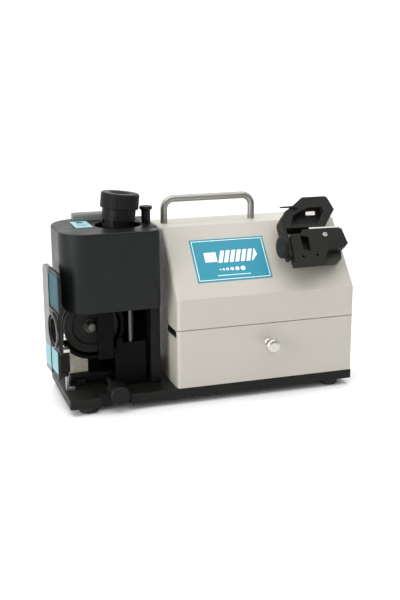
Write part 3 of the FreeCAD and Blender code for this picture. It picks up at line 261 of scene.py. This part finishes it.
def blackened(name, base, gloss, bevel=0.0005, rub_colour=srgb(120, 118, 112), marks=(300.0, 300.0, 12.0),
              shine=0.3):
    """Blacked steel: milling marks, oily patches and bright metal on the corners."""
    s = Surface(name)
    lines = s.noise(1.0, 3.0, 0.6, s.stretched(marks))
    patches = s.noise(22.0, 5.0, 0.6)
    tone = s.mix(s.remap(patches, 0.35, 0.65, 0.0, 1.0), shade(base, 0.75), shade(base, 1.35))
    tone = s.mix(s.remap(lines, 0.45, 0.75, 0.0, 0.35), tone, shade(base, 1.9))
    s.round_edges(bevel)
    rub = s.times(s.edges(bevel, 0.05, 0.4), s.remap(s.noise(180.0, 4.0), 0.45, 0.65, 0.0, 0.6))
    tone = s.mix(rub, tone, rub_colour)
    s.bump(lines, 0.00004, 0.4)
    s.bump(s.noise(1200.0, 2.0), 0.00003, 0.3)
    rough = s.remap(patches, 0.3, 0.7, gloss - 0.08, gloss + 0.1)
    return s.finish(tone, rough, Specular_IOR_Level=shine)


def galvanised(name):
    """Zinc-coated sheet with its spangle."""
    s = Surface(name)
    cell = s.cells(160.0)
    base = srgb(168, 172, 174)
    spangle = s.remap(cell.outputs["Color"], 0.0, 1.0, 0.0, 1.0)
    tone = s.mix(spangle, shade(base, 0.82), shade(base, 1.1))
    s.round_edges(0.0004)
    s.bump(s.noise(500.0, 3.0), 0.00003, 0.3)
    return s.finish(tone, s.clouds(60.0, 3.0, 0.32, 0.5), Metallic=0.85)


def sand_cast(name, base, gloss=0.7, lumps=0.0005):
    """Rough painted casting with patches of grime."""
    s = Surface(name)
    tone = s.mix(s.clouds(40.0, 5.0), shade(base, 0.72), shade(base, 1.08))
    grime = s.remap(s.noise(130.0, 4.0), 0.52, 0.7, 0.0, 0.6)
    tone = s.mix(grime, tone, srgb(88, 84, 74))
    s.round_edges(0.0009)
    s.bump(s.noise(420.0, 4.0, 0.7), lumps, 0.6)
    return s.finish(tone, s.clouds(70.0, 3.0, gloss - 0.1, gloss + 0.1))


def rubber(name):
    """Dull moulded rubber with dust."""
    s = Surface(name)
    base = srgb(30, 30, 30)
    tone = s.mix(s.remap(s.noise(120.0, 4.0), 0.4, 0.7, 0.0, 1.0), shade(base, 0.8), shade(base, 1.5))
    s.round_edges(0.0008)
    s.bump(s.noise(900.0, 3.0), 0.0001, 0.5)
    return s.finish(tone, s.clouds(80.0, 3.0, 0.62, 0.8))


def film_tone(s, base):
    """Even print colour with a little fading and a faint print screen."""
    tone = s.mix(s.clouds(16.0), shade(base, 0.96), shade(base, 1.04))
    screen = s.remap(s.noise(1800.0, 1.0), 0.5, 0.7, 0.0, 0.25)
    return s.mix(screen, tone, shade(base, 0.88))


def film(name, base, gloss=0.3, shine=0.4):
    """Printed plastic film: even colour, faint print screen, softly uneven gloss."""
    s = Surface(name)
    s.bump(s.noise(90.0, 2.0), 0.0001, 0.06)
    rough = s.clouds(45.0, 3.0, gloss - 0.05, gloss + 0.08)
    return s.finish(film_tone(s, base), rough, Specular_IOR_Level=shine)


def past(s, axis, place, blur):
    """0 below a place on an object axis, 1 above it."""
    parts = s.add("ShaderNodeSeparateXYZ")
    s.link(s.place, parts.inputs["Vector"])
    return s.remap(parts.outputs[axis], place - blur, place + blur, 0.0, 1.0)


def two_tone_film(name, low_base, high_base, gloss, shine):
    """Film whose colour changes half-way up the side panel, between its two stickers."""
    s = Surface(name)
    lo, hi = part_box("port_labels")
    high = past(s, "Z", (lo.z + hi.z) / 2, MM)
    dark = s.mix(s.clouds(16.0), high_base, shade(high_base, 1.3))
    rough = s.clouds(45.0, 3.0, gloss - 0.05, gloss + 0.08)
    return s.finish(s.mix(high, film_tone(s, low_base), dark), rough, Specular_IOR_Level=shine)


def abrasive(name):
    """Bonded grit: dark grains with a few pale ones."""
    s = Surface(name)
    cell = s.cells(2600.0)
    base = srgb(17, 15, 14)
    grains = s.remap(cell.outputs["Color"], 0.2, 0.9, 0.0, 1.0)
    tone = s.mix(grains, shade(base, 0.55), shade(base, 1.7))
    pale = s.remap(s.noise(1900.0, 2.0), 0.64, 0.7, 0.0, 0.8)
    tone = s.mix(pale, tone, srgb(58, 55, 50))
    s.bump(cell.outputs["Distance"], 0.0003, 0.8)
    return s.finish(tone, s.clouds(900.0, 2.0, 0.55, 0.85))


def two_tone_panel(name, front_base, back_base, gloss, shine):
    """Sprayed panel: black where the port is bolted on, silver on the raised rear band."""
    s = Surface(name)
    lo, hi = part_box("port_panel")
    rear = past(s, "Y", lo.y + BAND_SHARE * (hi.y - lo.y), 0.2 * MM)
    patches = s.clouds(9.0, 4.0)
    front_tone = s.mix(patches, shade(front_base, 0.8), shade(front_base, 1.3))
    back_tone = s.mix(patches, shade(back_base, 0.95), shade(back_base, 1.05))
    s.round_edges(0.0006)
    s.bump(s.noise(1000.0, 2.0), 0.00006, 0.55)
    rough = s.clouds(35.0, 4.0, gloss - 0.05, gloss + 0.06)
    return s.finish(s.mix(rear, front_tone, back_tone), rough, Specular_IOR_Level=shine)


def circuit(name):
    """Green lacquered board with copper tracks showing through."""
    s = Surface(name)
    base = srgb(24, 78, 48)
    lines = s.noise(1.0, 2.0, 0.5, s.stretched((60.0, 900.0, 60.0)))
    tone = s.mix(s.remap(lines, 0.5, 0.56, 0.0, 0.7), base, srgb(60, 128, 78))
    s.bump(lines, 0.00005, 0.4)
    return s.finish(tone, s.clouds(60.0, 2.0, 0.3, 0.45))


LOOKS = {
    "housing": powder_coat("housing_satin", srgb(184, 180, 170), srgb(150, 148, 142), 0.38, wear=0.15,
                           spread=0.018, shine=0.4),
    "base": powder_coat("base_black", srgb(27, 27, 25), srgb(90, 90, 85), 0.42, grain_scale=700.0,
                        grain=0.0001, wear=0.5, bevel=0.0007, spread=0.16, shine=0.14),
    "cover": moulded("cover_charcoal", srgb(24, 26, 26), 0.36, depth=0.00006, bevel=0.001, shine=0.18),
    "black_metal": blackened("black_metal", srgb(17, 17, 16), 0.4, shine=0.14),
    # black metal made darker than black_metal for the parts inside the head: painted shade of the dark interior
    "painted_shade_black": blackened("painted_shade_black", srgb(9, 9, 8), 0.5, rub_colour=srgb(40, 39, 36),
                             shine=0.07),
    "black_sheet": powder_coat("black_sheet", srgb(11, 11, 10), srgb(40, 40, 38), 0.5,
                               grain_scale=800.0, grain=0.00008, wear=0.3, bevel=0.0005,
                               spread=0.15, shine=0.12),
    "fixture": blackened("fixture_black", srgb(24, 24, 22), 0.42, 0.0009, marks=(14.0, 260.0, 260.0),
                         shine=0.16),
    "fixture_back": blackened("fixture_back", srgb(50, 52, 46), 0.45, 0.0009, shine=0.2),
    "knob_plastic": moulded("knob_plastic", srgb(17, 17, 16), 0.36, 1200.0, bevel=0.0006, shine=0.18),
    "chrome": brushed("satin_chrome", srgb(198, 196, 188), 0.32, (300.0, 30.0, 300.0), 0.00001,
                      contrast=0.05),
    "dull_steel": brushed("dull_steel", srgb(66, 65, 62), 0.42, (200.0, 60.0, 200.0), 0.00002,
                          contrast=0.2),
    "rod_steel": brushed("rod_steel", srgb(92, 91, 87), 0.34, (300.0, 300.0, 20.0), 0.00001),
    "handle": brushed("handle_steel", srgb(154, 153, 148), 0.42, (400.0, 400.0, 400.0), 0.00001,
                      contrast=0.06),
    "steel": brushed("ground_steel", srgb(168, 166, 160), 0.3),
    "aluminium": brushed("milled_aluminium", srgb(50, 50, 48), 0.45, (5.0, 300.0, 300.0),
                         contrast=0.22),
    "zinc": galvanised("zinc_sheet"),
    "cream": sand_cast("cream_casting", srgb(238, 232, 212)),
    "bronze": brushed("bronze", srgb(176, 132, 74), 0.35),
    "rubber": rubber("foot_rubber"),
    "teal": film("teal_film", srgb(40, 138, 160), 0.34, 0.3),
    "side_labels": two_tone_film("side_labels", srgb(126, 168, 174), srgb(14, 66, 74), 0.45, 0.12),
    "pale_blue": film("pale_blue_film", srgb(158, 200, 208)),
    "white_print": film("white_print", srgb(240, 244, 244)),
    "dark_print": film("dark_print", srgb(40, 60, 66)),
    "side_panel": two_tone_panel("side_panel", srgb(22, 22, 21), srgb(118, 120, 119), 0.45, 0.25),
    "panel": powder_coat("panel_silver", srgb(124, 126, 125), srgb(160, 160, 158), 0.42, 1000.0,
                         spread=0.05, shine=0.25),
    "grit": abrasive("wheel_grit"),
    "board": circuit("circuit_board"),
}

NODE_LOOKS = {
    "housing": ("housing_shell", "rear_panel", "drawer_front"),
    "base": ("base_plate",),
    "cover": ("head_cover",),
    "black_metal": ("column_plate", "port_bush", "tool_holder", "clamp_ring", "side_port_bush",
                    "pivot_block", "feed_bracket"),
    # the parts inside the head take the darker black, which paints their shade
    "painted_shade_black": ("port_bridge", "support_bar", "rod_block", "wheel_guard", "motor_body", "motor_cap",
                    "drawer_rails"),
    "black_sheet": ("rear_shield",),
    "fixture_back": ("fixture_body",),
    "fixture": ("fixture_front", "gauge_loop", "gauge_knob", "stop_finger"),
    "knob_plastic": ("plunger_knob", "feed_knob", "power_module", "rocker_switch"),
    "chrome": ("drawer_knob", "rest_bar", "jaw_plate"),
    "rod_steel": ("guide_rod", "side_port_ring", "spindle"),
    "dull_steel": ("wheel_nut", "guide_rails", "drawer_runners"),
    "handle": ("carry_handle",),
    "steel": ("foot_screws", "rear_screws", "handle_screws", "collet", "feed_screw",
              "spindle_bearings", "swivel_pin"),
    "aluminium": ("carriage",),
    "zinc": ("deck_plate", "drawer_tray", "pivot_bracket"),
    "cream": ("motor_cradle",),
    "bronze": ("feed_nut",),
    "rubber": ("rubber_feet",),
    "teal": ("name_label",),
    "side_labels": ("port_labels",),
    "pale_blue": ("cover_label",),
    "side_panel": ("port_panel",),
    "panel": ("rear_lip",),
    "grit": ("grinding_wheel",),
    "board": ("control_board",),
}


def paint_nodes():
    """Give each node of the frame its look."""
    for look, names in NODE_LOOKS.items():
        for name in names:
            for slot in NODES[name].material_slots:
                slot.material = LOOKS[look]


# ======================= mesh helpers =======================

def piece_from(mesh_maker, name, look, body):
    """Run a bmesh maker and set the new piece up: material and body."""
    mesh = bpy.data.meshes.new(name)
    bm = bmesh.new()
    mesh_maker(bm)
    bmesh.ops.recalc_face_normals(bm, faces=bm.faces)
    bm.to_mesh(mesh)
    bm.free()
    piece = bpy.data.objects.new(name, mesh)
    bpy.context.scene.collection.objects.link(piece)
    mesh.materials.append(LOOKS[look])
    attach(piece, body)
    return piece


def slab(bm, outline, plane, low, high):
    """Add a flat shape: outline points are (across, up) on the plane, low..high off it."""
    lower = [bm.verts.new(plane @ Vector((x, y, low))) for x, y in outline]
    upper = [bm.verts.new(plane @ Vector((x, y, high))) for x, y in outline]
    count = len(outline)
    bm.faces.new(upper)
    bm.faces.new(lower[::-1])
    for i in range(count):
        j = (i + 1) % count
        bm.faces.new((lower[i], lower[j], upper[j], upper[i]))


def circle(x, y, r, steps=24):
    """Points round a circle, from its right-hand side."""
    return [(x + r * math.cos(2 * math.pi * i / steps), y + r * math.sin(2 * math.pi * i / steps))
            for i in range(steps)]


def plane_at(origin, across, up):
    """A frame whose X is across, Y is up and Z is off the surface."""
    across = across.normalized()
    off = across.cross(up).normalized()
    up = off.cross(across)
    m = Matrix((across, up, off)).transposed().to_4x4()
    m.translation = origin
    return m


# ======================= label on the slanted panel =======================

def slant_plane():
    """Plane of the label's face, from its lower left corner, with its width and height."""
    lo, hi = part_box("name_label")
    rise = math.atan2(hi.z - lo.z, hi.y - lo.y)
    start = Vector((lo.x, lo.y, lo.z + FILM * math.cos(rise)))
    end = Vector((lo.x, hi.y - FILM * math.sin(rise), hi.z))
    return plane_at(start, Vector((1, 0, 0)), end - start), hi.x - lo.x, (end - start).length


def label_print():
    """Border, drill pictogram and size discs, printed on the label of the slanted panel."""
    plane, width, height = slant_plane()
    line = BORDER

    def border(bm):
        x0, x1 = MARGIN, width - MARGIN
        y0, y1 = MARGIN, height - MARGIN
        for outline in (
            [(x0, y0), (x1, y0), (x1, y0 + line), (x0, y0 + line)],
            [(x0, y1 - line), (x1, y1 - line), (x1, y1), (x0, y1)],
            [(x0, y0 + line), (x0 + line, y0 + line), (x0 + line, y1 - line), (x0, y1 - line)],
            [(x1 - line, y0 + line), (x1, y0 + line), (x1, y1 - line), (x1 - line, y1 - line)],
        ):
            slab(bm, outline, plane, 0.0, PRINT)

    piece_from(border, "label_border", "white_print", "base")

    def drill(bm):
        """A plain twist drill, drawn as a pictogram."""
        mid = height * 0.57
        r = 9.0 * MM
        x = width * 0.155
        shank = width * 0.16
        slab(bm, [(x, mid - r * 0.8), (x + shank, mid - r * 0.8), (x + shank, mid + r * 0.8),
                  (x, mid + r * 0.8)], plane, 0.0, PRINT)
        x += shank + 1.0 * MM
        pitch = 8.0 * MM
        band = 5.6 * MM
        lean = 6.5 * MM
        bands = 6
        for i in range(bands):
            a = x + i * pitch
            slab(bm, [(a, mid - r), (a + band, mid - r), (a + band + lean, mid + r),
                      (a + lean, mid + r)], plane, 0.0, PRINT)
        a = x + bands * pitch
        slab(bm, [(a, mid - r), (a + 1.5 * MM, mid - r), (a + 9.5 * MM, mid),
                  (a + lean + 1.0 * MM, mid + r), (a + lean, mid + r)], plane, 0.0, PRINT)

    piece_from(drill, "label_drill", "white_print", "base")

    def sizes(bm):
        """A row of discs that grow, for the range of diameters."""
        x = width * 0.30
        for i in range(6):
            r = (1.1 + 0.45 * i) * MM
            x += r + 2.0 * MM
            slab(bm, circle(x, height * 0.27, r), plane, 0.0, PRINT)
            x += r
        slab(bm, [(width * 0.28, height * 0.125), (width * 0.72, height * 0.125),
                  (width * 0.72, height * 0.14), (width * 0.28, height * 0.14)], plane, 0.0, PRINT)

    piece_from(sizes, "label_sizes", "white_print", "base")


# ======================= small prints and screws =======================

def joint(name):
    return next(j for j in frame["joints"] if j["name"] == name)


def panel_plane():
    """Plane of the side panel, from the record's side port: across is towards the back."""
    port = next(m for m in frame["record"]["mounts"] if m["name"] == "side_port")
    off = Vector(port["axis"])
    across = off.cross(Vector((0, 0, 1)))
    return plane_at(Vector(port["pos_m"]), across, Vector((0, 0, 1)))


def side_print():
    """Ticks of the angle scale on the side panel's upper sticker."""
    plane = panel_plane()
    lo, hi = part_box("port_labels")
    front_edge = plane.inverted() @ Vector((hi.x, lo.y, hi.z))
    to_back = 1.0 if front_edge.x < 0 else -1.0
    face = PORT_TO_PANEL + STICKER
    start = -to_back * SCALE_Y

    def ticks(bm):
        for i in range(SCALE_TICKS):
            length = (9.0 if i % 4 == 0 else 5.5) * MM
            low = SCALE_Z + i * SCALE_STEP
            high = low + 0.8 * MM
            end = start + to_back * length
            slab(bm, [(start, low), (end, low), (end, high), (start, high)], plane, face,
                 face + PRINT)

    piece_from(ticks, "side_scale_print", "white_print", "side_port")


def socket_screw(bm, plane, x, y, radius, height):
    """Cap screw: a chamfered head with a six-sided socket."""
    steps = 36
    rings = []
    for r, h in ((radius, 0.0), (radius, height - radius * 0.15), (radius * 0.86, height)):
        rings.append([bm.verts.new(plane @ Vector((px, py, h)))
                      for px, py in circle(x, y, r, steps)])
    for low, high in zip(rings, rings[1:]):
        for i in range(steps):
            j = (i + 1) % steps
            bm.faces.new((low[i], low[j], high[j], high[i]))
    bm.faces.new(rings[0][::-1])
    hexagon = []
    for i in range(6):
        a = math.pi / 3 * i
        hexagon.append((x + radius * 0.5 * math.cos(a), y + radius * 0.5 * math.sin(a)))
    rim = [bm.verts.new(plane @ Vector((px, py, height))) for px, py in hexagon]
    floor = [bm.verts.new(plane @ Vector((px, py, height * 0.35))) for px, py in hexagon]
    each = steps // 6
    for i in range(6):
        j = (i + 1) % 6
        arc = [rings[2][(i * each + k) % steps] for k in range(each + 1)]
        bm.faces.new(arc + [rim[j], rim[i]])
        bm.faces.new((rim[i], rim[j], floor[j], floor[i]))
    bm.faces.new(floor)


def slope_frame():
    """Frame of the slanted panel; its origin is the stop finger's pivot."""
    up = Vector(joint("gauge_slide")["axis"])
    pivot = Vector(joint("stop_finger_swing")["pos_m"])
    return plane_at(pivot, Vector((1, 0, 0)), up)


def fixture_screw():
    """Cap screw that holds the fixture's front plate to its block."""
    plane = slope_frame()

    def head(bm):
        socket_screw(bm, plane, 31.5 * MM, -46.5 * MM, 3.4 * MM, 1.8 * MM)

    piece_from(head, "fixture_screw_head", "steel", "base")


def cover_print():
    """Four plain lines and a disc on the cover's label."""
    lo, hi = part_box("cover_label")
    plane = plane_at(Vector((lo.x, lo.y, hi.z)), Vector((1, 0, 0)), Vector((0, 1, 0)))
    w, d = hi.x - lo.x, hi.y - lo.y

    def lines(bm):
        left = w * 0.15
        for i in range(4):
            right = w * (0.85 - 0.12 * (i % 2))
            low = d * (0.16 + 0.12 * i)
            high = low + 0.9 * MM
            slab(bm, [(left, low), (right, low), (right, high), (left, high)], plane, 0.0, PRINT)
        slab(bm, circle(w * 0.5, d * 0.78, 5.0 * MM), plane, 0.0, PRINT)

    piece_from(lines, "cover_label_print", "dark_print", "base")


# ======================= stage, light, camera =======================

def stage():
    """Wide pale paper floor."""
    mesh = bpy.data.meshes.new("floor")
    bm = bmesh.new()
    bmesh.ops.create_grid(bm, x_segments=1, y_segments=1, size=FLOOR_HALF)
    bm.to_mesh(mesh)
    bm.free()
    floor = bpy.data.objects.new("floor", mesh)
    bpy.context.scene.collection.objects.link(floor)
    s = Surface("floor_paper")
    tone = s.mix(s.clouds(3.0), FLOOR_LOW, FLOOR_HIGH)
    mesh.materials.append(s.finish(tone, Roughness=0.9))


def area_light(name, place, size, power):
    """Square soft box that looks at the machine."""
    data = bpy.data.lights.new(name, "AREA")
    data.energy = power
    data.shape = "RECTANGLE"
    data.size = size
    data.size_y = size
    light = bpy.data.objects.new(name, data)
    light.location = place
    aim = Vector(LIGHT_AIM) - Vector(place)
    light.rotation_euler = aim.to_track_quat("-Z", "Y").to_euler()
    bpy.context.scene.collection.objects.link(light)


def lights():
    """The room's own light and the two soft boxes."""
    world = bpy.data.worlds.new("studio")
    bpy.context.scene.world = world
    world.use_nodes = True
    tree = world.node_tree
    back = tree.nodes["Background"]
    back.inputs["Color"].default_value = (1.0, 1.0, 1.0, 1.0)
    # the room is white behind and above the machine and dimmer in front of it
    direction = tree.nodes.new("ShaderNodeTexCoord").outputs["Generated"]
    dot = tree.nodes.new("ShaderNodeVectorMath")
    dot.operation = "DOT_PRODUCT"
    dot.inputs[1].default_value = ROOM_AXIS
    tree.links.new(direction, dot.inputs[0])
    level = tree.nodes.new("ShaderNodeMapRange")
    level.interpolation_type = "SMOOTHSTEP"
    for socket, value in (("From Min", ROOM_FADE[0]), ("From Max", ROOM_FADE[1]),
                          ("To Min", DIM_ROOM), ("To Max", WHITE_ROOM)):
        level.inputs[socket].default_value = value
    tree.links.new(dot.outputs["Value"], level.inputs["Value"])
    tree.links.new(level.outputs["Result"], back.inputs["Strength"])
    area_light("top_softbox", TOP_PLACE, TOP_SIZE, TOP_POWER)
    area_light("left_softbox", LEFT_PLACE, LEFT_SIZE, LEFT_POWER)


def camera():
    """The view, placed from the base plate's corner."""
    data = bpy.data.cameras.new("view")
    data.sensor_fit = "AUTO"
    data.sensor_width = SENSOR
    data.lens = FOCAL
    data.clip_end = 100.0
    cam = bpy.data.objects.new("view", data)
    turn = (Matrix.Rotation(-CAMERA_YAW, 4, "Z")
            @ Matrix.Rotation(math.pi / 2 - CAMERA_PITCH, 4, "X")
            @ Matrix.Rotation(CAMERA_ROLL, 4, "Z"))
    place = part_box("base_plate")[0] + CAMERA_FROM_PLATE
    cam.matrix_world = Matrix.Translation(place) @ turn
    bpy.context.scene.collection.objects.link(cam)
    bpy.context.scene.camera = cam


bpy.context.scene.view_settings.view_transform = "Standard"
camera()
lights()
stage()
paint_nodes()
label_print()
cover_print()
side_print()
fixture_screw()
